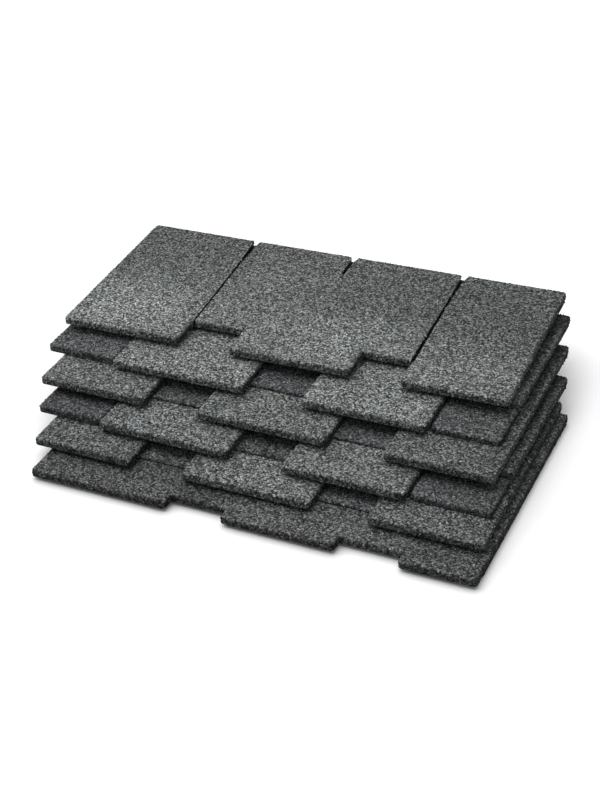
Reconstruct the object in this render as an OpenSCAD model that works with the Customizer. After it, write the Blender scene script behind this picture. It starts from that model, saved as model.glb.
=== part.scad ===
// Opened bundle of laminated asphalt shingles, six shingles stacked in steps.
// Each shingle is a thick tooth sheet bonded on a thin backing.
// Shingles are numbered from the top down. X runs along their length, Y from front to back.
// The origin is the middle of the bottom shingle's underside.

/* [Sheets] */
// Length of shingle 1, the top one, left to right
length_1 = 1004; // [900:1:1100]
// Length of shingle 2
length_2 = 1022; // [900:1:1100]
// Length of shingle 3
length_3 = 1005; // [900:1:1100]
// Length of shingle 4
length_4 = 999; // [900:1:1100]
// Length of shingle 5
length_5 = 969; // [900:1:1100]
// Length of shingle 6, the bottom one
length_6 = 950; // [900:1:1100]
// Depth of the top shingle, front to back
top_depth = 473; // [400:1:540]
// Depth of the four middle shingles, front to back
middle_depth = 528; // [460:1:600]
// Depth of the bottom shingle, front to back
bottom_depth = 600; // [540:1:680]
// Thickness of the tooth sheets
tooth_sheet_t = 17; // [14.5:0.5:20]
// Thickness of the backings
backing_t = 7; // [4:0.5:10]
// How far the backings stay inside the sides and back of their tooth sheets
backing_inset = 1; // [0:0.5:6]

/* [Tooth edges along the front] */
// Each list holds the first edge from the left end, the next two from the middle, the last from the right end
// Tooth edges of shingle 1
tooth_edges_1 = [275, -111, 163, 231]; // [-200:1:320]
// Tooth edges of shingle 2
tooth_edges_2 = [166, -40, 88, 150]; // [-200:1:320]
// Tooth edges of shingle 3
tooth_edges_3 = [247, -136, 152, 232]; // [-200:1:320]
// Tooth edges of shingle 4
tooth_edges_4 = [155, -50, 67, 170]; // [-200:1:320]
// Tooth edges of shingle 5
tooth_edges_5 = [224, -149, 132, 237]; // [-200:1:320]
// Tooth edges of shingle 6
tooth_edges_6 = [307, -51, 191, 158]; // [-200:1:320]

/* [Teeth] */
// Length of the teeth of the middle shingles, tip to root
tooth_length = 145; // [120:1:180]
// Length of the teeth of the top shingle, tip to shoulder
top_tooth_length = 82; // [60:1:110]
// Length of the teeth of the bottom shingle, tip to shoulder
bottom_tooth_length = 29; // [24:1:55]
// Corner radius of the sheets and the tooth tips
corner_r = 5; // [2:0.5:12]

/* [Backings] */
// How far the backings of the middle shingles lie behind the tooth tips
gap_recess = 44; // [30:1:80]
// How far the top and bottom backings lie behind the shoulders
shoulder_recess = 10; // [2:1:25]
// Thickness of the left bare ends of shingles 2 and 4
left_end_t = 17; // [11:0.5:20]
// Thickness of the right bare ends of shingles 2 and 4
right_end_t = 13; // [11:0.5:20]
// How far the bare ends lie behind the tooth tips
end_recess = 18; // [5:1:28]
// Clearance between the bare ends and the tooth sheet beside them
end_clearance = 1; // [0.5:0.5:4]

/* [Slots in the top shingle] */
// Depth of the slots, cut down from the top face
slot_depth = 14; // [2:0.5:14]
// Width of the slots at the back edge
slot_mouth_w = 20; // [14:1:30]
// Length of the flared mouths at the back edge
slot_mouth_length = 24; // [10:1:35]
// Width of the slots in front of their mouths
slot_back_w = 10; // [7:0.5:14]
// How far from the back edge the long slots have narrowed to their necks
slot_neck_length = 120; // [60:1:200]
// Width of the long slots at their necks
slot_neck_w = 4.5; // [3:0.5:7]
// Width of the long slots at their front ends
slot_front_w = 3; // [1:0.5:5]
// Middle of the left slot at the back edge, from the left end
left_slot_x = 262; // [225:1:280]
// Middle of the short slot at the back edge, from the middle of the shingle
short_slot_x = 5; // [-50:1:50]
// Middle of the right slot at the back edge, from the right end
right_slot_x = 235; // [215:1:260]
// Length of the short slot
short_slot_length = 85; // [40:1:160]
// Width of the short slot in front of its mouth
short_slot_w = 7; // [3:0.5:12]

/* [Stack] */
// How far each shingle is set behind the one below it
back_step = 80; // [70:1:95]
// How far each shingle is set to the left of the one below it
left_step = 20; // [0:1:40]

/* [Hidden] */
TOP = 1;
BOTTOM = 6;
// Shingles whose ends are bare backing, with their teeth between the ends
BARE_ENDED = [2, 4];
// How far each shingle has slipped off the even steps, and its turn in degrees, from the top down
BACK_SLIP = [1, -18, -21, -20, -6, 0];
LEFT_SLIP = [6, 19, 10, 9, 2, 0];
TURN = [2.1, 0.65, 0.4, -0.15, 0.3, 0];
CUT_OVER = 1;
$fn = 32;

TOOTH_COLOR = [0.42, 0.43, 0.43];
BACKING_COLOR = [0.24, 0.25, 0.26];

LENGTHS = [length_1, length_2, length_3, length_4, length_5, length_6];
TOOTH_EDGES = [tooth_edges_1, tooth_edges_2, tooth_edges_3, tooth_edges_4, tooth_edges_5, tooth_edges_6];
shingle_t = tooth_sheet_t + backing_t;
// Stretch of a tooth that lies under the sheet's edge behind it, so that both are one piece
tuck = 3 * corner_r;

function bare_ended(n) = len(search(n, BARE_ENDED)) > 0;
function of_kind(n, top, middle, bottom) = n == TOP ? top : n == BOTTOM ? bottom : middle;
function sheet_length(n) = LENGTHS[n - 1];
function sheet_depth(n) = of_kind(n, top_depth, middle_depth, bottom_depth);
function root(n) = of_kind(n, top_tooth_length, tooth_length, bottom_tooth_length);

// How far the backing of shingle n lies behind the tooth tips
function backing_front(n) =
    of_kind(n, top_tooth_length + shoulder_recess, gap_recess, bottom_tooth_length + shoulder_recess);

// Tooth edges of shingle n, all measured from its left end
function edges(n) =
    let (e = TOOTH_EDGES[n - 1], long = sheet_length(n))
    [e[0], long / 2 + e[1], long / 2 + e[2], long - e[3]];

// Left and right edge of each tooth of shingle n
function teeth(n) =
    let (e = edges(n))
    bare_ended(n) ? [[e[0], e[1]], [e[2], e[3]]] : [[0, e[0]], [e[1], e[2]], [e[3], sheet_length(n)]];

// Rectangle between two corners, with its corners rounded
module plate(low, high) {
    translate([low.x + corner_r, low.y])
        square([high.x - low.x - 2 * corner_r, high.y - low.y]);
    translate([low.x, low.y + corner_r])
        square([high.x - low.x, high.y - low.y - 2 * corner_r]);
    for (x = [low.x + corner_r, high.x - corner_r], y = [low.y + corner_r, high.y - corner_r])
        translate([x, y])
            circle(corner_r);
}

// Places what is drawn from the front left corner of shingle n, with its underside at Z 0
module placed(n) {
    k = BOTTOM - n;
    left = left_step * k + LEFT_SLIP[n - 1];
    back = back_step * k + BACK_SLIP[n - 1];
    translate([-left, back - bottom_depth / 2, shingle_t * k])
        rotate(TURN[n - 1])
            translate([-sheet_length(n) / 2, 0])
                children();
}

// Plan of a tooth sheet: the sheet behind the tooth roots and the teeth in front of it
module tooth_plan(n) {
    plate([0, root(n)], [sheet_length(n), sheet_depth(n)]);
    for (tooth = teeth(n))
        plate([tooth[0], 0], [tooth[1], root(n) + tuck]);
}

// Stretch of a slot between its widths at two places
module slot_stretch(back, back_w, front, front_w) {
    polygon([
        [back.x - back_w / 2, back.y],
        [back.x + back_w / 2, back.y],
        [front.x + front_w / 2, front.y],
        [front.x - front_w / 2, front.y]
    ]);
}

// Plan of a long slot that narrows from the back edge to the shoulder in front
module long_slot(back_x, front_x) {
    shoulder = top_tooth_length - CUT_OVER;
    slope = (front_x - back_x) / (top_depth - shoulder);
    mouth = [back_x + slope * slot_mouth_length, top_depth - slot_mouth_length];
    neck = [back_x + slope * slot_neck_length, top_depth - slot_neck_length];
    slot_stretch([back_x, top_depth + CUT_OVER], slot_mouth_w, mouth, slot_back_w);
    slot_stretch(mouth, slot_back_w, neck, slot_neck_w);
    slot_stretch(neck, slot_neck_w, [front_x, shoulder], slot_front_w);
}

// Plan of the short slot that ends in the panel
module short_slot(x) {
    mouth = [x, top_depth - slot_mouth_length];
    slot_stretch([x, top_depth + CUT_OVER], slot_mouth_w, mouth, short_slot_w);
    slot_stretch(mouth, short_slot_w, [x, top_depth - short_slot_length], short_slot_w);
}

// The three slots between the panels of the top shingle
module slots() {
    long_slot(left_slot_x, edges(TOP)[0] + slot_front_w / 2);
    short_slot(sheet_length(TOP) / 2 + short_slot_x);
    long_slot(sheet_length(TOP) - right_slot_x, edges(TOP)[3] - slot_front_w / 2);
}

// Thick upper ply of shingle n, with its teeth
module tooth_sheet(n) {
    color(TOOTH_COLOR)
        placed(n)
            translate([0, 0, backing_t])
                difference() {
                    linear_extrude(tooth_sheet_t)
                        tooth_plan(n);
                    if (n == TOP)
                        translate([0, 0, tooth_sheet_t - slot_depth])
                            linear_extrude(slot_depth + CUT_OVER)
                                slots();
                }
}

// Thick bare ends on both sides of the teeth of shingle n
module bare_ends(n) {
    behind = root(n) - end_clearance;
    linear_extrude(left_end_t)
        plate([backing_inset, end_recess], [edges(n)[0] - end_clearance, behind]);
    linear_extrude(right_end_t)
        plate([edges(n)[3] + end_clearance, end_recess], [sheet_length(n) - backing_inset, behind]);
}

// Thin lower ply of shingle n, with its bare ends
module backing(n) {
    low = [backing_inset, backing_front(n)];
    high = [sheet_length(n) - backing_inset, sheet_depth(n) - backing_inset];
    color(BACKING_COLOR)
        placed(n) {
            linear_extrude(backing_t)
                plate(low, high);
            if (bare_ended(n))
                bare_ends(n);
        }
}

tooth_sheet(1);  // tooth_sheet_1
tooth_sheet(2);  // tooth_sheet_2
tooth_sheet(3);  // tooth_sheet_3
tooth_sheet(4);  // tooth_sheet_4
tooth_sheet(5);  // tooth_sheet_5
tooth_sheet(6);  // tooth_sheet_6
backing(1);  // backing_1
backing(2);  // backing_2
backing(3);  // backing_3
backing(4);  // backing_4
backing(5);  // backing_5
backing(6);  // backing_6
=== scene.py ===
"""Opened bundle of laminated asphalt shingles: granule coats, finishes, light and camera."""
import sys

import logging
import math
from dataclasses import dataclass
from enum import Enum, IntEnum

import bmesh
import bpy
import numpy as np
from mathutils import Matrix, Vector
from mathutils.bvhtree import BVHTree


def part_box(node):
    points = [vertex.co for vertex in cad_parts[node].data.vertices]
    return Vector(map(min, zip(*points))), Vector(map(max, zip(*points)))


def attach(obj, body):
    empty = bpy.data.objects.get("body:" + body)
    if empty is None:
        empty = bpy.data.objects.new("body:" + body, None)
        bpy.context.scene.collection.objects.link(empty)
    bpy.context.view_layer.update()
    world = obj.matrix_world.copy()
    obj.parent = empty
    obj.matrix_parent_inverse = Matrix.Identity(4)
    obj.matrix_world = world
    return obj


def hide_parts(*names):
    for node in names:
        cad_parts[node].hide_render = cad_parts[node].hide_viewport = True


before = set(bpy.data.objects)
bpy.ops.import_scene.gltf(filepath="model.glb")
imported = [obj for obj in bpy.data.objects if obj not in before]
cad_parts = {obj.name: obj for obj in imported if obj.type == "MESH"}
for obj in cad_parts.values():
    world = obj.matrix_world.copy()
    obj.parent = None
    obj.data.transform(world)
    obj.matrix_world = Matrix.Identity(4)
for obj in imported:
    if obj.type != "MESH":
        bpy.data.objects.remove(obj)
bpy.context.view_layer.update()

MM = 0.001
# Place of the bottom shingle's front edge, in millimetres
STACK_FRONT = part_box("tooth_sheet_6")[0][1] / MM
# Faces whose normal rises or falls less than this are walls
SLANT = 0.5
# Stored marks above this are set
MARK_LIMIT = 0.5
# Warm and cool tint of the stone with their places on the drift between them, and the drift's noise
TINTS = ((0.35, (1.02, 1.0, 0.97)), (0.65, (0.98, 1.0, 1.03)))
TINT_SCALE = 24.0
TINT_DETAIL = 4.0
TINT_ROUGHNESS = 0.7
LOG = logging.getLogger("shingle_bundle")

# Short names for types
Color = tuple[float, float, float]
Socket = bpy.types.NodeSocket
Material = bpy.types.Material
Object = bpy.types.Object
BMesh = bmesh.types.BMesh
Layer = bmesh.types.BMLayerItem
Spot = float | np.ndarray


class Ply(Enum):
    """The two plies that are bonded into one shingle."""

    TOOTH = "tooth_sheet"
    BACKING = "backing"


class Draw(IntEnum):
    """Fixed seeds of the granules' random fields."""

    TURN = 11
    GIRTH = 12
    SHAPE = 13
    TONE = 14
    CHIP = 40


class NodeChain:
    """Adds nodes to the tree that it holds and links them in short calls."""

    tree: bpy.types.NodeTree | None = None

    def add(self, kind: str, links: dict | None = None, **settings) -> bpy.types.Node:
        """Add one node.

        Args:
            kind: Node type.
            links: Value or output socket for each named or numbered input.
            settings: Properties of the node.

        Returns:
            The new node.
        """
        node = self.tree.nodes.new(kind)
        for name, value in settings.items():
            setattr(node, name, value)
        for key, value in (links or {}).items():
            if isinstance(value, Socket):
                self.tree.links.new(value, node.inputs[key])
            else:
                node.inputs[key].default_value = value
        return node


class ShaderChain(NodeChain):
    """Node chain of one material or of the world."""

    def __init__(self, tree: bpy.types.NodeTree) -> None:
        """Start with an empty tree.

        Args:
            tree: Node tree of the material or the world.
        """
        self.tree = tree
        self.tree.nodes.clear()

    def ramp(self, factor: Socket, stops: tuple) -> Socket:
        """Spread a factor over colours.

        Args:
            factor: Output that drives the ramp.
            stops: Place and linear colour of each stop.

        Returns:
            The colour output.
        """
        node = self.add("ShaderNodeValToRGB", {0: factor})
        marks = node.color_ramp.elements
        while len(marks) < len(stops):
            marks.new(0.5)
        for mark, (place, color) in zip(marks, stops):
            mark.position = place
            mark.color = (*color, 1.0)
        return node.outputs["Color"]

    def noise(self, place: Socket, scale: float, detail: float, roughness: float = 0.5) -> Socket:
        """Make a soft noise."""
        links = {"Vector": place, "Scale": scale, "Detail": detail, "Roughness": roughness}
        return self.add("ShaderNodeTexNoise", links).outputs["Fac"]

    def spread(self, value: Socket, reach: float) -> Socket:
        """Map the middle half of a noise to a range around 1.

        Args:
            value: Noise output.
            reach: How far the range goes below and above 1.

        Returns:
            The mapped output.
        """
        links = {
            "Value": value,
            "From Min": 0.25,
            "From Max": 0.75,
            "To Min": 1.0 - reach,
            "To Max": 1.0 + reach,
        }
        return self.add("ShaderNodeMapRange", links).outputs["Result"]

    def times(self, first: Socket, second: Socket) -> Socket:
        """Multiply two numbers."""
        return self.add("ShaderNodeMath", {0: first, 1: second}, operation="MULTIPLY").outputs[0]

    def scaled(self, color: Socket, by: Socket) -> Socket:
        """Multiply a colour by a number."""
        return self.add("ShaderNodeVectorMath", {0: color, "Scale": by}, operation="SCALE").outputs[0]

    def tinted(self, color: Socket, place: Socket) -> Socket:
        """Let a colour drift softly between warm and cool from place to place.

        Args:
            color: Colour output.
            place: Coordinates output.

        Returns:
            The tinted colour output.
        """
        tint = self.ramp(self.noise(place, TINT_SCALE, TINT_DETAIL, TINT_ROUGHNESS), TINTS)
        return self.add("ShaderNodeVectorMath", {0: color, 1: tint}, operation="MULTIPLY").outputs[0]

    def surface(self, color: Socket, roughness: float, specular: float, normal: Socket) -> None:
        """End the material in one rough surface.

        Args:
            color: Colour output.
            roughness: Roughness of the surface.
            specular: Strength of its sheen.
            normal: Output of the bump.
        """
        links = {
            "Base Color": color,
            "Roughness": roughness,
            "Specular IOR Level": specular,
            "Normal": normal,
        }
        shader = self.add("ShaderNodeBsdfPrincipled", links)
        self.add("ShaderNodeOutputMaterial", {"Surface": shader.outputs["BSDF"]})


def new_material(name: str) -> tuple[Material, ShaderChain]:
    """Start a material with an empty node chain.

    Args:
        name: Name of the material.

    Returns:
        The material and its chain.
    """
    made = bpy.data.materials.new(name)
    made.use_nodes = True
    return made, ShaderChain(made.node_tree)


@dataclass(frozen=True)
class GranuleFinish:
    """Crushed stone granules, whose stone colours follow each granule's own tone."""

    name: str
    stops: tuple[tuple[float, Color], ...]
    blotch_scale: float = 14.0
    blotch_detail: float = 3.0
    blotch_reach: float = 0.12
    grain_scale: float = 900.0
    grain_detail: float = 2.0
    grain_reach: float = 0.15
    bump: float = 0.5
    bump_height: float = 0.4 * MM
    roughness: float = 0.92
    specular: float = 0.06

    def material(self) -> Material:
        """Make the granules' material.

        Returns:
            Material that reads the attributes tone and shade.
        """
        made, chain = new_material(self.name)
        place = chain.add("ShaderNodeTexCoord").outputs["Object"]
        tone = chain.add("ShaderNodeAttribute", attribute_name="tone").outputs["Fac"]
        shade = chain.add("ShaderNodeAttribute", attribute_name="shade").outputs["Fac"]
        blotch = chain.noise(place, self.blotch_scale, self.blotch_detail)
        grain = chain.noise(place, self.grain_scale, self.grain_detail)
        level = chain.times(shade, chain.spread(blotch, self.blotch_reach))
        level = chain.times(level, chain.spread(grain, self.grain_reach))
        color = chain.tinted(chain.scaled(chain.ramp(tone, self.stops), level), place)
        raised = {"Strength": self.bump, "Distance": self.bump_height, "Height": grain}
        normal = chain.add("ShaderNodeBump", raised).outputs["Normal"]
        chain.surface(color, self.roughness, self.specular, normal)
        return made


@dataclass(frozen=True)
class AsphaltFinish:
    """Black asphalt with fine grit pressed into it, seen between the granules and on the undersides."""

    name: str
    asphalt: Color
    grit: tuple[tuple[float, Color], ...]
    grit_size: float
    seam: tuple[float, float] = (0.6, 0.85)
    bump: float = 0.8
    bump_height: float = 0.8 * MM
    roughness: float = 0.95
    specular: float = 0.05

    def material(self) -> Material:
        """Make the asphalt's material.

        Returns:
            Material that reads the attribute shade.
        """
        made, chain = new_material(self.name)
        place = chain.add("ShaderNodeTexCoord").outputs["Object"]
        shade = chain.add("ShaderNodeAttribute", attribute_name="shade").outputs["Fac"]
        cells = chain.add("ShaderNodeTexVoronoi", {"Vector": place, "Scale": 1.0 / self.grit_size})
        pick = chain.add("ShaderNodeSeparateColor", {"Color": cells.outputs["Color"]}).outputs[0]
        grit = chain.tinted(chain.scaled(chain.ramp(pick, self.grit), shade), place)
        ends = {"Value": cells.outputs["Distance"], "From Min": self.seam[0], "From Max": self.seam[1]}
        gap = chain.add("ShaderNodeMapRange", ends).outputs["Result"]
        blend = {"Factor": gap, 6: grit, 7: (*self.asphalt, 1.0)}
        color = chain.add("ShaderNodeMix", blend, data_type="RGBA").outputs[2]
        raised = {"Strength": self.bump, "Distance": self.bump_height, "Height": cells.outputs["Distance"]}
        normal = chain.add("ShaderNodeBump", raised, invert=True).outputs["Normal"]
        chain.surface(color, self.roughness, self.specular, normal)
        return made


@dataclass(frozen=True)
class TonePatch:
    """Soft patch of lighter or darker granules, in millimetres from a shingle's front left corner; most
    patches are the granule blend's own tone, some dark ones are painted shade beside and under the sheets
    above.

    The lift is the share by which the tone rises in its middle, and the turn is in degrees.
    """

    x: float
    y: float
    wide: float
    deep: float
    lift: float
    turn: float = 0.0

    def weight(self, x: np.ndarray, y: np.ndarray) -> np.ndarray:
        """Work out how much of the patch lies at each point.

        Args:
            x: Distances from the left end.
            y: Distances from the front.

        Returns:
            The lift at each point.
        """
        a = math.radians(self.turn)
        along = ((x - self.x) * math.cos(a) + (y - self.y) * math.sin(a)) / self.wide
        across = ((y - self.y) * math.cos(a) - (x - self.x) * math.sin(a)) / self.deep
        return self.lift * np.exp(-(along**2 + across**2))


@dataclass
class GranuleCoat(NodeChain):
    """Granules scattered over the open faces of a ply, by one Geometry Nodes tree."""

    # Spacing, most granules in a square metre, and the granules' size and depth in the asphalt
    spacing: float = 4.9 * MM
    most: float = 160000.0
    chip_radius: float = 3.5 * MM
    sink: float = 1.5 * MM
    # How far granules go on under the sheets above, and the rays in metres that find those sheets
    tuck: float = 30 * MM
    rise: float = 2.5 * MM
    look_up: float = 0.3
    # Rise of a normal above which a face is a top, and below which it is an underside
    top_limit: float = 0.8
    under_limit: float = -0.3
    # Range of the stones' sizes, how far their corners are knocked about, and how many shapes
    girth: tuple[float, float] = (0.7, 1.12)
    knock: float = 0.2
    variants: int = 4
    tree: bpy.types.NodeTree | None = None

    def random(self, low: float, high: float, seed: int, vector: bool = False) -> Socket:
        """Make a random field.

        Args:
            low: Smallest value.
            high: Largest value.
            seed: Fixed seed of the field.
            vector: Whether the field has three parts.

        Returns:
            The field's output.
        """
        if vector:
            links = {0: (low,) * 3, 1: (high,) * 3, "Seed": seed}
            return self.add("FunctionNodeRandomValue", links, data_type="FLOAT_VECTOR").outputs[0]
        links = {2: low, 3: high, "Seed": seed}
        return self.add("FunctionNodeRandomValue", links, data_type="FLOAT").outputs[1]

    def compare(self, first: Socket, second: float, how: str) -> Socket:
        """Compare a number with a limit."""
        sides = {0: first, 1: second}
        return self.add("FunctionNodeCompare", sides, data_type="FLOAT", operation=how).outputs[0]

    def has_mark(self, name: str) -> Socket:
        """Find where a stored mark is set."""
        mark = self.add("GeometryNodeInputNamedAttribute", {"Name": name}, data_type="FLOAT")
        return self.compare(mark.outputs[0], MARK_LIMIT, "GREATER_THAN")

    def logic(self, how: str, first: Socket, second: Socket) -> Socket:
        """Join two conditions."""
        return self.add("FunctionNodeBooleanMath", {0: first, 1: second}, operation=how).outputs[0]

    def chips(self) -> Socket:
        """Make a few crushed stone shapes of eight faces each.

        Returns:
            The shapes as instances of radius 1.
        """
        gather = self.add("GeometryNodeGeometryToInstance")
        for variant in range(self.variants):
            stone = self.add("GeometryNodeMeshUVSphere", {"Segments": 4, "Rings": 2, "Radius": 1.0})
            knock = self.random(-self.knock, self.knock, Draw.CHIP + variant, vector=True)
            links = {"Geometry": stone.outputs["Mesh"], "Offset": knock}
            chipped = self.add("GeometryNodeSetPosition", links)
            self.tree.links.new(chipped.outputs[0], gather.inputs[0])
        return gather.outputs[0]

    def covered(self, cover: Socket, tuck: Socket) -> Socket:
        """Find the points that lie well under the plies above.

        Args:
            cover: Object made of the plies above.
            tuck: How far the granules go on under the edge of that object.

        Returns:
            True where rays on four sides of a point all meet the cover.
        """
        target = self.add("GeometryNodeObjectInfo", {"Object": cover}).outputs["Geometry"]
        place = self.add("GeometryNodeInputPosition").outputs[0]
        found = None
        for step in ((1, 0), (-1, 0), (0, 1), (0, -1)):
            aside = self.add("ShaderNodeVectorMath", {0: (*step, 0.0), "Scale": tuck}, operation="SCALE")
            start = self.add("ShaderNodeVectorMath", {0: place, 1: aside.outputs[0]}, operation="ADD")
            above = {0: start.outputs[0], 1: (0, 0, self.rise)}
            lifted = self.add("ShaderNodeVectorMath", above, operation="ADD")
            links = {
                "Target Geometry": target,
                "Source Position": lifted.outputs[0],
                "Ray Direction": (0.0, 0.0, 1.0),
                "Ray Length": self.look_up,
            }
            hit = self.add("GeometryNodeRaycast", links).outputs["Is Hit"]
            found = hit if found is None else self.logic("AND", found, hit)
        return found

    def make_tree(self) -> None:
        """Build the tree with its named inputs."""
        self.tree = bpy.data.node_groups.new("granule_coat", "GeometryNodeTree")
        inputs = (
            ("Body", "NodeSocketGeometry"),
            ("Spacing", "NodeSocketFloat"),
            ("Chip Radius", "NodeSocketFloat"),
            ("Sink", "NodeSocketFloat"),
            ("Tuck", "NodeSocketFloat"),
            ("Seed", "NodeSocketInt"),
            ("Cover", "NodeSocketObject"),
            ("Granules", "NodeSocketMaterial"),
        )
        for name, kind in inputs:
            self.tree.interface.new_socket(name, in_out="INPUT", socket_type=kind)
        self.tree.interface.new_socket("Coated", in_out="OUTPUT", socket_type="NodeSocketGeometry")
        given = self.add("NodeGroupInput").outputs

        dots = {
            "Mesh": given["Body"],
            "Distance Min": given["Spacing"],
            "Density Max": self.most,
            "Seed": given["Seed"],
        }
        spread = self.add("GeometryNodeDistributePointsOnFaces", dots, distribute_method="POISSON")
        normal = spread.outputs["Normal"]
        up = self.add("ShaderNodeSeparateXYZ", {0: normal}).outputs["Z"]
        covered = self.covered(given["Cover"], given["Tuck"])
        hidden = self.logic("AND", covered, self.compare(up, self.top_limit, "GREATER_THAN"))
        under = self.compare(up, self.under_limit, "LESS_THAN")
        bare = self.logic("OR", under, self.has_mark("slot"))
        drop = {"Geometry": spread.outputs["Points"], "Selection": self.logic("OR", hidden, bare)}
        open_dots = self.add("GeometryNodeDeleteGeometry", drop, domain="POINT").outputs[0]
        inward = self.add("ShaderNodeMath", {0: given["Sink"], 1: -1.0}, operation="MULTIPLY").outputs[0]
        shift = self.add("ShaderNodeVectorMath", {0: normal, "Scale": inward}, operation="SCALE").outputs[0]
        sunk = self.add("GeometryNodeSetPosition", {"Geometry": open_dots, "Offset": shift}).outputs[0]

        angles = self.random(0.0, math.tau, Draw.TURN, vector=True)
        turn = self.add("FunctionNodeEulerToRotation", {0: angles}).outputs[0]
        girth = self.random(*self.girth, Draw.GIRTH, vector=True)
        grown = {0: girth, "Scale": given["Chip Radius"]}
        size = self.add("ShaderNodeVectorMath", grown, operation="SCALE").outputs[0]
        ends = {4: 0, 5: self.variants - 1, "Seed": Draw.SHAPE}
        pick = self.add("FunctionNodeRandomValue", ends, data_type="INT").outputs[2]
        stones = {
            "Points": sunk,
            "Instance": self.chips(),
            "Pick Instance": True,
            "Instance Index": pick,
            "Rotation": turn,
            "Scale": size,
        }
        placed = self.add("GeometryNodeInstanceOnPoints", stones).outputs[0]
        toned = {"Geometry": placed, "Name": "tone", "Value": self.random(0.0, 1.0, Draw.TONE)}
        placed = self.add("GeometryNodeStoreNamedAttribute", toned, domain="INSTANCE").outputs[0]
        marked = {"Geometry": placed, "Name": "granule", "Value": 1.0}
        placed = self.add("GeometryNodeStoreNamedAttribute", marked, domain="INSTANCE").outputs[0]
        both = self.add("GeometryNodeJoinGeometry")
        self.tree.links.new(given["Body"], both.inputs[0])
        self.tree.links.new(placed, both.inputs[0])
        real = self.add("GeometryNodeRealizeInstances", {0: both.outputs[0]}).outputs[0]
        chosen = {"Geometry": real, "Selection": self.has_mark("granule"), "Material": given["Granules"]}
        dressed = self.add("GeometryNodeSetMaterial", chosen).outputs[0]
        self.add("NodeGroupOutput", {0: dressed})

    def lay(self, body: Object, cover: Object | None, finish: Material, seed: int) -> None:
        """Lay the granules on a ply and leave it as a plain mesh.

        Args:
            body: The ply without granules.
            cover: Object made of the plies above, if there are any.
            finish: Material of the granules.
            seed: Fixed seed of this ply's scatter.
        """
        if self.tree is None:
            self.make_tree()
        values = {
            "Spacing": self.spacing,
            "Chip Radius": self.chip_radius,
            "Sink": self.sink,
            "Tuck": self.tuck,
            "Seed": seed,
            "Cover": cover,
            "Granules": finish,
        }
        coat = body.modifiers.new("granule_coat", "NODES")
        coat.node_group = self.tree
        for item in self.tree.interface.items_tree:
            if item.in_out == "INPUT" and item.name in values:
                coat[item.identifier] = values[item.name]
        depsgraph = bpy.context.evaluated_depsgraph_get()
        mesh = bpy.data.meshes.new_from_object(body.evaluated_get(depsgraph), depsgraph=depsgraph)
        body.modifiers.clear()
        bare = body.data
        body.data = mesh
        bpy.data.meshes.remove(bare)
        mesh.name = body.name


def is_wall(face: bmesh.types.BMFace) -> bool:
    """Tell whether a face stands upright."""
    return abs(face.normal.z) < SLANT


def is_top(face: bmesh.types.BMFace) -> bool:
    """Tell whether a face looks up."""
    return face.normal.z > SLANT


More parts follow.
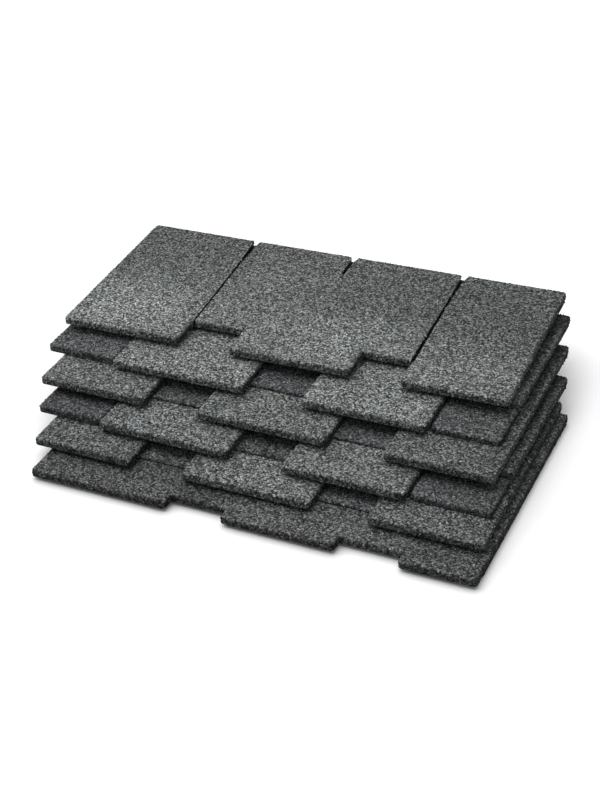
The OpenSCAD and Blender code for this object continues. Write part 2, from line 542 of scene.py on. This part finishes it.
@dataclass
class ShinglePly:
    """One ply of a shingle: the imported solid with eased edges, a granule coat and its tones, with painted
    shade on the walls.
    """

    shingle: "Shingle"
    ply: Ply
    tone: float
    patches: tuple[TonePatch, ...] = ()
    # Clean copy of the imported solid
    merge: float = 0.01 * MM
    flat_angle: float = math.radians(1.0)
    # Room that is left for the granules
    inset: float = 1.4 * MM
    slot_inset: float = 0.6 * MM
    least_turn: float = 0.3
    # Slots, told by a wall close in front of a wall and by their deep floors
    slot_reach: float = 30 * MM
    slot_least: float = 8 * MM
    off_face: float = 0.1 * MM
    # Worn corners and rounded edges
    corner_wear: float = 4.5 * MM
    arc_step: float = 1.5 * MM
    top_round: float = 4.5 * MM
    under_round: float = 1.0 * MM
    round_steps: int = 4
    level: float = 0.9
    upright: float = 0.1
    # Grid whose points hold the tones
    cell: float = 16 * MM
    cut_merge: float = 0.001 * MM
    # Walls darker, partly for their darker cut edges and partly as painted shade; right-facing walls and
    # right ends darker still as painted shade, fading over the rims
    wall_drop: float = 0.24
    right_wall_painted_shade: float = 0.55
    end_wall_painted_shade: float = 0.55
    end_reach: float = 12 * MM
    rim_reach: float = 2.5 * MM
    rim_pass: float = 0.7
    rim_rounds: int = 4
    # Lowest share of the tone that the patches leave
    least_tone: float = 0.18
    piece: Object | None = None

    @property
    def node(self) -> str:
        """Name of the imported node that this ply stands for."""
        return f"{self.ply.value}_{self.shingle.number}"

    def plan_body(self) -> BMesh:
        """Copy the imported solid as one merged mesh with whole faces.

        Returns:
            The merged mesh.
        """
        body = bmesh.new()
        body.from_mesh(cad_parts[self.node].data)
        bmesh.ops.remove_doubles(body, verts=body.verts, dist=self.merge)
        bmesh.ops.dissolve_limit(body, angle_limit=self.flat_angle, verts=body.verts, edges=body.edges)
        body.normal_update()
        return body

    def wear_corners(self, body: BMesh) -> None:
        """Widen the small rounding of the sheet's corners, as handling wears them.

        Args:
            body: Mesh of the ply.
        """
        a = math.radians(self.shingle.turn)
        along = Vector((math.cos(a), math.sin(a), 0.0))
        across = Vector((-math.sin(a), math.cos(a), 0.0))
        moves = {}
        for vert in body.verts:
            walls = [face for face in vert.link_faces if is_wall(face)]
            widths = []
            for face in walls:
                flat = [corner.co.xy for corner in face.verts]
                widths.append(max((first - last).length for first in flat for last in flat))
            if not walls or min(widths) > self.arc_step:
                continue
            total = sum((face.normal for face in walls), Vector((0.0, 0.0, 0.0)))
            widest = max(widths)
            out = walls[widths.index(widest)].normal if widest > self.arc_step else total.normalized()
            sides = along * math.copysign(1.0, total.dot(along))
            sides += across * math.copysign(1.0, total.dot(across))
            moves[vert] = (out - sides) * self.corner_wear
        for vert, move in moves.items():
            vert.co += move
        body.normal_update()

    def mark_slots(self, body: BMesh) -> Layer:
        """Mark the walls and floors of the narrow slots, which stay bare.

        Args:
            body: Mesh of the ply.

        Returns:
            Face layer that holds 1 on the faces of the slots.
        """
        layer = body.faces.layers.float.new("slot")
        tree = BVHTree.FromBMesh(body)
        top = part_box(self.node)[1][2]
        for face in body.faces:
            middle = face.calc_center_median()
            if is_wall(face):
                hit = tree.ray_cast(middle + face.normal * self.off_face, face.normal, self.slot_reach)
                face[layer] = float(hit[0] is not None)
            elif is_top(face) and middle.z < top - self.slot_least and self.ply is Ply.TOOTH:
                face[layer] = 1.0
        return layer

    def draw_in(self, body: BMesh, slot: Layer) -> None:
        """Draw the top and the walls in, to leave room for the granules.

        Args:
            body: Mesh of the ply.
            slot: Face layer that marks the slots.
        """
        moves = {}
        for vert in body.verts:
            walls = [face for face in vert.link_faces if is_wall(face)]
            reach = [self.slot_inset if face[slot] else self.inset for face in walls]
            move = Vector((0.0, 0.0, 0.0))
            if len(walls) > 1:
                first, last = walls[0].normal, walls[-1].normal
                turn = first.x * last.y - first.y * last.x
                if abs(turn) < self.least_turn:
                    move -= (first + last) * reach[0] / max(self.least_turn, 1.0 + first.dot(last))
                else:
                    move.x = -(reach[0] * last.y - reach[-1] * first.y) / turn
                    move.y = -(reach[-1] * first.x - reach[0] * last.x) / turn
            elif walls:
                move -= walls[0].normal * reach[0]
            if any(is_top(face) for face in vert.link_faces):
                move.z -= self.inset
            moves[vert] = move
        for vert, move in moves.items():
            vert.co += move
        body.normal_update()

    def ease(self, body: BMesh, slot: Layer) -> None:
        """Round the edges of the top and the underside, apart from the slots.

        Args:
            body: Mesh of the ply.
            slot: Face layer that marks the slots.
        """
        for upward, width in ((True, self.top_round), (False, self.under_round)):
            rims = []
            for edge in body.edges:
                if len(edge.link_faces) != 2 or any(face[slot] for face in edge.link_faces):
                    continue
                first, last = (face.normal.z for face in edge.link_faces)
                flat = max(first, last) if upward else -min(first, last)
                meets_wall = min(abs(first), abs(last)) < self.upright
                if flat > self.level and meets_wall and edge.is_convex:
                    rims.append(edge)
            bmesh.ops.bevel(
                body,
                geom=rims,
                offset=width,
                segments=self.round_steps,
                profile=0.5,
                affect="EDGES",
                clamp_overlap=False,
            )
            body.normal_update()

    def grid(self, body: BMesh) -> None:
        """Cut the faces along a grid, so that tones can change over them.

        Args:
            body: Mesh of the ply.
        """
        low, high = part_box(self.node)
        for axis in (0, 1):
            normal = Vector((1.0, 0.0, 0.0)) if axis == 0 else Vector((0.0, 1.0, 0.0))
            count = int((high[axis] - low[axis]) / self.cell)
            for step in range(1, count + 1):
                spot = normal * (low[axis] + step * self.cell)
                geom = body.verts[:] + body.edges[:] + body.faces[:]
                bmesh.ops.bisect_plane(body, geom=geom, dist=self.cut_merge, plane_co=spot, plane_no=normal)

    def face_tones(self, body: BMesh, slot: Layer) -> None:
        """Write painted shade on the walls, above all on those that face right, fading over the rims; part
        of the walls' darkening stands for their darker cut edges.

        Args:
            body: Mesh of the ply.
            slot: Face layer that marks the slots.
        """
        facing = body.verts.layers.float.new("facing")
        body.normal_update()
        drops = {}
        for vert in body.verts:
            bare = any(face[slot] for face in vert.link_faces)
            normal = Vector((0.0, 0.0, 1.0)) if bare else vert.normal
            along, _ = self.shingle.local(vert.co.x, vert.co.y)
            at_end = along > self.shingle.length - self.end_reach / MM
            right = self.end_wall_painted_shade if at_end else self.right_wall_painted_shade
            # Painted shade: all walls and undersides a little darker, partly for their darker cut edges;
            # right-facing walls much darker
            drops[vert] = self.wall_drop * min(1.0, 1.0 - normal.z) + right * max(0.0, normal.x)
        # The painted shade passes onto the rims over their short edges
        short = [edge.verts for edge in body.edges if edge.calc_length() < self.rim_reach]
        for _ in range(self.rim_rounds):
            passed = dict(drops)
            for first, last in short:
                passed[first] = max(passed[first], self.rim_pass * drops[last])
                passed[last] = max(passed[last], self.rim_pass * drops[first])
            drops = passed
        for vert, drop in drops.items():
            vert[facing] = 1.0 - drop

    def build(self, grit: Material, bare: Material) -> None:
        """Make the ply's body without its granules.

        Args:
            grit: Material of the body between the granules.
            bare: Material of the underside and of the slots.
        """
        body = self.plan_body()
        self.wear_corners(body)
        slot = self.mark_slots(body)
        self.draw_in(body, slot)
        self.ease(body, slot)
        self.grid(body)
        bmesh.ops.triangulate(body, faces=[face for face in body.faces if len(face.verts) > 4])
        self.face_tones(body, slot)
        for face in body.faces:
            face.material_index = int(face[slot] > MARK_LIMIT or face.normal.z < -SLANT)
        mesh = bpy.data.meshes.new(self.node)
        body.to_mesh(mesh)
        body.free()
        mesh.materials.append(grit)
        mesh.materials.append(bare)
        self.piece = bpy.data.objects.new(f"coated_{self.node}", mesh)
        bpy.context.scene.collection.objects.link(self.piece)

    def shade(self) -> None:
        """Write the shade of every point from the ply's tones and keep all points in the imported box."""
        mesh = self.piece.data
        flat = np.empty(len(mesh.vertices) * 3, np.float32)
        mesh.vertices.foreach_get("co", flat)
        points = flat.reshape(-1, 3).astype(float)
        low, high = (np.array(corner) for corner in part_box(self.node))
        points = np.clip(points, low, high)
        mesh.vertices.foreach_set("co", points.astype(np.float32).ravel())
        x, y = self.shingle.local(points[:, 0], points[:, 1])
        lift = sum((patch.weight(x, y) for patch in self.patches), np.zeros(len(points)))
        facing = np.empty(len(points), np.float32)
        mesh.attributes["facing"].data.foreach_get("value", facing)
        # The shade holds the tone, the patches with their painted shade, and the painted shade of the walls
        level = self.tone * np.maximum(1.0 + lift, self.least_tone) * facing
        layer = mesh.attributes.new("shade", "FLOAT", "POINT")
        layer.data.foreach_set("value", level.astype(np.float32))
        mesh.update()

    def dress(self, coat: GranuleCoat, cover: Object | None, granules: Material) -> None:
        """Lay the granules and hand the piece to the frame.

        Args:
            coat: The granule coat.
            cover: Object made of the plies above, if there are any.
            granules: Material of the granules.
        """
        seed = self.shingle.number * 10 + (1 if self.ply is Ply.TOOTH else 2)
        coat.lay(self.piece, cover, granules, seed)
        self.shade()
        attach(self.piece, "root")
        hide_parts(self.node)
        triangles = sum(len(face.vertices) - 2 for face in self.piece.data.polygons)
        LOG.info("%s: %d triangles", self.piece.name, triangles)


@dataclass
class Shingle:
    """One shingle of the stack: its length and place in millimetres, its turn in degrees, and its tones."""

    number: int
    length: float
    left: float
    back: float
    turn: float
    tooth_tone: float
    backing_tone: float
    tooth_patches: tuple[TonePatch, ...] = ()
    backing_patches: tuple[TonePatch, ...] = ()
    # Painted shade on the right end wall of the tooth sheet
    end_wall_painted_shade: float = 0.1

    def local(self, x: Spot, y: Spot) -> tuple[Spot, Spot]:
        """Turn points of the stack into millimetres from the shingle's front left corner.

        Args:
            x: Places along the stack in metres.
            y: Places across the stack in metres.

        Returns:
            Distances from the left end and from the front.
        """
        a = math.radians(self.turn)
        across = x / MM + self.left
        behind = y / MM - self.back - STACK_FRONT
        along = across * math.cos(a) + behind * math.sin(a) + self.length / 2
        return along, behind * math.cos(a) - across * math.sin(a)

    def plies(self) -> list[ShinglePly]:
        """List the shingle's plies.

        Returns:
            The tooth sheet and the backing under it.
        """
        upper = ShinglePly(self, Ply.TOOTH, self.tooth_tone, self.tooth_patches, end_wall_painted_shade=self.end_wall_painted_shade)
        lower = ShinglePly(self, Ply.BACKING, self.backing_tone, self.backing_patches)
        return [upper, lower]


@dataclass
class Bundle:
    """The six shingles, from the top down."""

    shingles: tuple[Shingle, ...]
    granules: dict[Ply, GranuleFinish]
    grit: dict[Ply, AsphaltFinish]
    bare: AsphaltFinish
    coat: GranuleCoat

    def cover(self, nodes: list[str]) -> Object | None:
        """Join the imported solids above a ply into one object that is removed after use.

        Args:
            nodes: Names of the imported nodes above.

        Returns:
            The object, or nothing for the uppermost ply.
        """
        if not nodes:
            return None
        joined = bmesh.new()
        for name in nodes:
            joined.from_mesh(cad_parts[name].data)
        mesh = bpy.data.meshes.new("cover")
        joined.to_mesh(mesh)
        joined.free()
        made = bpy.data.objects.new("cover", mesh)
        bpy.context.scene.collection.objects.link(made)
        return made

    def build(self) -> None:
        """Build and dress every ply."""
        granules = {ply: finish.material() for ply, finish in self.granules.items()}
        grit = {ply: finish.material() for ply, finish in self.grit.items()}
        bare = self.bare.material()
        above: list[str] = []
        for shingle in self.shingles:
            for ply in shingle.plies():
                ply.build(grit[ply.ply], bare)
                cover = self.cover(above)
                bpy.context.view_layer.update()
                ply.dress(self.coat, cover, granules[ply.ply])
                if cover is not None:
                    mesh = cover.data
                    bpy.data.objects.remove(cover)
                    bpy.data.meshes.remove(mesh)
                above.append(ply.node)


@dataclass
class Studio:
    """Plain pale floor, soft light from the upper left and the camera."""

    ambient: float = 0.42
    key_level: float = 0.78
    key_from: tuple[float, float] = (-0.85, 0.53)
    key_height: float = 60.0
    key_angle: float = 80.0
    floor_bounce: float = 0.3
    floor_white: float = 0.98
    floor_size: float = 12.0
    floor_drop: float = 0.2 * MM
    sensor: float = 36.0
    picture_px: float = 800.0
    sight: float = 100.0
    focal_px: float = 1706.1
    azimuth: float = 24.569
    elevation: float = 32.906
    distance: float = 3682.3 * MM
    target: tuple[float, float, float] = (-85.8 * MM, 171.8 * MM, 0.0)
    roll: float = -1.559

    def seen_rays(self, chain: ShaderChain) -> Socket:
        """Tell the rays that look at the surroundings from those that light the object.

        Args:
            chain: Node chain of the floor or the world.

        Returns:
            1 for camera, glossy and transmission rays, otherwise 0.
        """
        path = chain.add("ShaderNodeLightPath").outputs
        some = {0: path["Is Camera Ray"], 1: path["Is Glossy Ray"]}
        first = chain.add("ShaderNodeMath", some, operation="MAXIMUM").outputs[0]
        more = {0: first, 1: path["Is Transmission Ray"]}
        return chain.add("ShaderNodeMath", more, operation="MAXIMUM").outputs[0]

    def floor(self) -> None:
        """Make the pale floor, which keeps the shadow."""
        body = bmesh.new()
        bmesh.ops.create_grid(body, x_segments=1, y_segments=1, size=self.floor_size)
        mesh = bpy.data.meshes.new("floor")
        body.to_mesh(mesh)
        body.free()
        made, chain = new_material("floor_white")
        level = {"Value": self.seen_rays(chain), "To Min": self.floor_bounce, "To Max": self.floor_white}
        pale = chain.add("ShaderNodeMapRange", level).outputs["Result"]
        shader = chain.add("ShaderNodeBsdfDiffuse", {"Color": pale})
        chain.add("ShaderNodeOutputMaterial", {"Surface": shader.outputs[0]})
        mesh.materials.append(made)
        plane = bpy.data.objects.new("floor", mesh)
        plane.location.z = -self.floor_drop
        bpy.context.scene.collection.objects.link(plane)

    def light(self) -> None:
        """Make the soft key light and the even light of the room."""
        key = bpy.data.lights.new("key", "SUN")
        height = math.radians(self.key_height)
        key.energy = self.key_level * math.pi / math.sin(height)
        key.angle = math.radians(self.key_angle)
        lamp = bpy.data.objects.new("key", key)
        side = Vector(self.key_from).normalized()
        toward = Vector((side.x * math.cos(height), side.y * math.cos(height), math.sin(height)))
        lamp.rotation_euler = toward.to_track_quat("Z", "Y").to_euler()
        bpy.context.scene.collection.objects.link(lamp)
        world = bpy.data.worlds.new("room")
        bpy.context.scene.world = world
        world.use_nodes = True
        chain = ShaderChain(world.node_tree)
        even = chain.add("ShaderNodeBackground", {"Color": (1.0, 1.0, 1.0, 1.0), "Strength": self.ambient})
        white = chain.add("ShaderNodeBackground", {"Color": (1.0, 1.0, 1.0, 1.0), "Strength": 1.0})
        both = {0: self.seen_rays(chain), 1: even.outputs[0], 2: white.outputs[0]}
        mixed = chain.add("ShaderNodeMixShader", both)
        chain.add("ShaderNodeOutputWorld", {"Surface": mixed.outputs[0]})

    def camera(self) -> None:
        """Place the camera at the photograph's viewing angle."""
        az, el, roll = (math.radians(v) for v in (self.azimuth, self.elevation, self.roll))
        away = Vector((math.sin(az) * math.cos(el), -math.cos(az) * math.cos(el), math.sin(el)))
        right = (-away).cross(Vector((0.0, 0.0, 1.0))).normalized()
        up = right.cross(-away)
        turned = right * math.cos(roll) + up * math.sin(roll)
        upright = up * math.cos(roll) - right * math.sin(roll)
        data = bpy.data.cameras.new("camera")
        data.sensor_width = self.sensor
        data.lens = self.focal_px * self.sensor / self.picture_px
        data.clip_end = self.sight
        made = bpy.data.objects.new("camera", data)
        axes = Matrix((turned, upright, away)).transposed().to_4x4()
        made.matrix_world = Matrix.Translation(Vector(self.target) + away * self.distance) @ axes
        bpy.context.scene.collection.objects.link(made)
        bpy.context.scene.camera = made

    def build(self) -> None:
        """Build the floor, the light and the camera."""
        self.floor()
        self.light()
        self.camera()
        bpy.context.scene.view_settings.view_transform = "Standard"


GREY_BLEND = GranuleFinish(
    name="grey_stone_granules",
    stops=(
        (0.0, (0.012, 0.0125, 0.0125)),
        (0.2, (0.040, 0.042, 0.0415)),
        (0.5, (0.103, 0.108, 0.1065)),
        (0.8, (0.203, 0.213, 0.210)),
        (1.0, (0.46, 0.48, 0.475)),
    ),
)

CHARCOAL_BLEND = GranuleFinish(
    name="charcoal_stone_granules",
    stops=(
        (0.0, (0.013, 0.0135, 0.014)),
        (0.2, (0.042, 0.044, 0.045)),
        (0.5, (0.114, 0.120, 0.122)),
        (0.8, (0.218, 0.229, 0.232)),
        (1.0, (0.49, 0.51, 0.515)),
    ),
)

GREY_GRIT = AsphaltFinish(
    name="asphalt_with_grey_grit",
    asphalt=(0.013, 0.0135, 0.0135),
    grit=(
        (0.0, (0.016, 0.017, 0.017)),
        (0.5, (0.089, 0.0935, 0.092)),
        (1.0, (0.265, 0.278, 0.274)),
    ),
    grit_size=3.6 * MM,
)

CHARCOAL_GRIT = AsphaltFinish(
    name="asphalt_with_charcoal_grit",
    asphalt=(0.013, 0.0135, 0.014),
    grit=(
        (0.0, (0.028, 0.0295, 0.030)),
        (0.5, (0.104, 0.1095, 0.111)),
        (1.0, (0.26, 0.273, 0.277)),
    ),
    grit_size=3.6 * MM,
)

BARE_ASPHALT = AsphaltFinish(
    name="bare_asphalt",
    asphalt=(0.012, 0.012, 0.013),
    grit=(
        (0.0, (0.014, 0.014, 0.015)),
        (0.7, (0.022, 0.022, 0.023)),
        (1.0, (0.10, 0.10, 0.10)),
    ),
    grit_size=2.2 * MM,
)

SHINGLES = (
    Shingle(
        number=1, length=1004.0, left=106.0, back=401.0, turn=2.1,
        tooth_tone=0.96, backing_tone=0.9,
        tooth_patches=(
            TonePatch(110, 90, 190, 135, 0.98, 12),
            TonePatch(400, 270, 120, 150, 0.27),
            TonePatch(530, 40, 190, 110, 0.62),
            TonePatch(620, 150, 130, 80, 0.42),
            TonePatch(900, 50, 170, 130, 0.54),
            TonePatch(900, 350, 190, 200, -0.12),
        ),
    ),
    Shingle(
        number=2, length=1022.0, left=99.0, back=302.0, turn=0.65,
        tooth_tone=1.59, backing_tone=0.88,
        tooth_patches=(
            TonePatch(790, 60, 110, 150, -0.05),
            # Painted shade: the strip along the right end beside the sheet above, and its right back corner
            TonePatch(1000, 400, 20, 300, -0.88, 1.4),
            TonePatch(1012, 520, 40, 70, -0.55),
        ),
        backing_patches=(
            TonePatch(83, 80, 90, 120, -0.02),
            TonePatch(534, 80, 90, 120, -0.14),
            TonePatch(950, 80, 90, 120, -0.22),
        ),
    ),
    Shingle(
        number=3, length=1005.0, left=70.0, back=219.0, turn=0.4,
        tooth_tone=1.23, backing_tone=0.83,
        tooth_patches=(
            TonePatch(510, 60, 130, 150, -0.04),
            TonePatch(890, 60, 110, 150, -0.24),
            # Painted shade: the strip along the right end beside the sheet above, and its right back corner
            TonePatch(984, 400, 20, 300, -0.88),
            TonePatch(996, 528, 40, 40, -0.35),
        ),
    ),
    Shingle(
        number=4, length=999.0, left=49.0, back=140.0, turn=-0.15,
        tooth_tone=1.29, backing_tone=0.84,
        tooth_patches=(
            TonePatch(700, 60, 130, 150, -0.08),
            # Painted shade: the strip along the right end beside the sheet above, and its right back corner
            TonePatch(979, 400, 20, 300, -0.85),
            TonePatch(990, 528, 40, 40, -0.3),
        ),
        backing_patches=(
            TonePatch(77, 80, 90, 120, -0.23),
            # Painted shadow under the left tooth of the sheet above
            TonePatch(77, 88, 110, 22, -0.3),
            TonePatch(508, 80, 90, 120, -0.04),
            TonePatch(915, 80, 90, 120, -0.25),
        ),
    ),
    Shingle(
        number=5, length=969.0, left=22.0, back=74.0, turn=0.3,
        tooth_tone=1.07, backing_tone=1.0,
        tooth_patches=(
            TonePatch(475, 60, 130, 150, 0.34),
            TonePatch(850, 60, 110, 150, -0.05),
            # Painted shade: the strip along the right end beside the sheet above
            TonePatch(955, 400, 14, 300, -0.75),
        ),
        end_wall_painted_shade=0.25,
    ),
    Shingle(
        number=6, length=950.0, left=0.0, back=0.0, turn=0.0,
        tooth_tone=0.81, backing_tone=0.9,
        tooth_patches=(
            # Painted shadow under the left tooth of the sheet above
            TonePatch(110, 84, 130, 24, -0.35),
            TonePatch(365, 60, 55, 120, -0.24),
            TonePatch(545, 60, 110, 120, 0.16),
            TonePatch(730, 50, 50, 60, 0.24),
            TonePatch(870, 60, 80, 120, -0.14),
        ),
        end_wall_painted_shade=0.4,
    ),
)


def main() -> None:
    """Build the bundle, then the studio around it."""
    logging.basicConfig(level=logging.INFO, format="%(name)s: %(message)s", stream=sys.stdout)
    blends = {Ply.TOOTH: GREY_BLEND, Ply.BACKING: CHARCOAL_BLEND}
    grits = {Ply.TOOTH: GREY_GRIT, Ply.BACKING: CHARCOAL_GRIT}
    Bundle(SHINGLES, blends, grits, BARE_ASPHALT, GranuleCoat()).build()
    Studio().build()


if __name__ == "__main__":
    main()
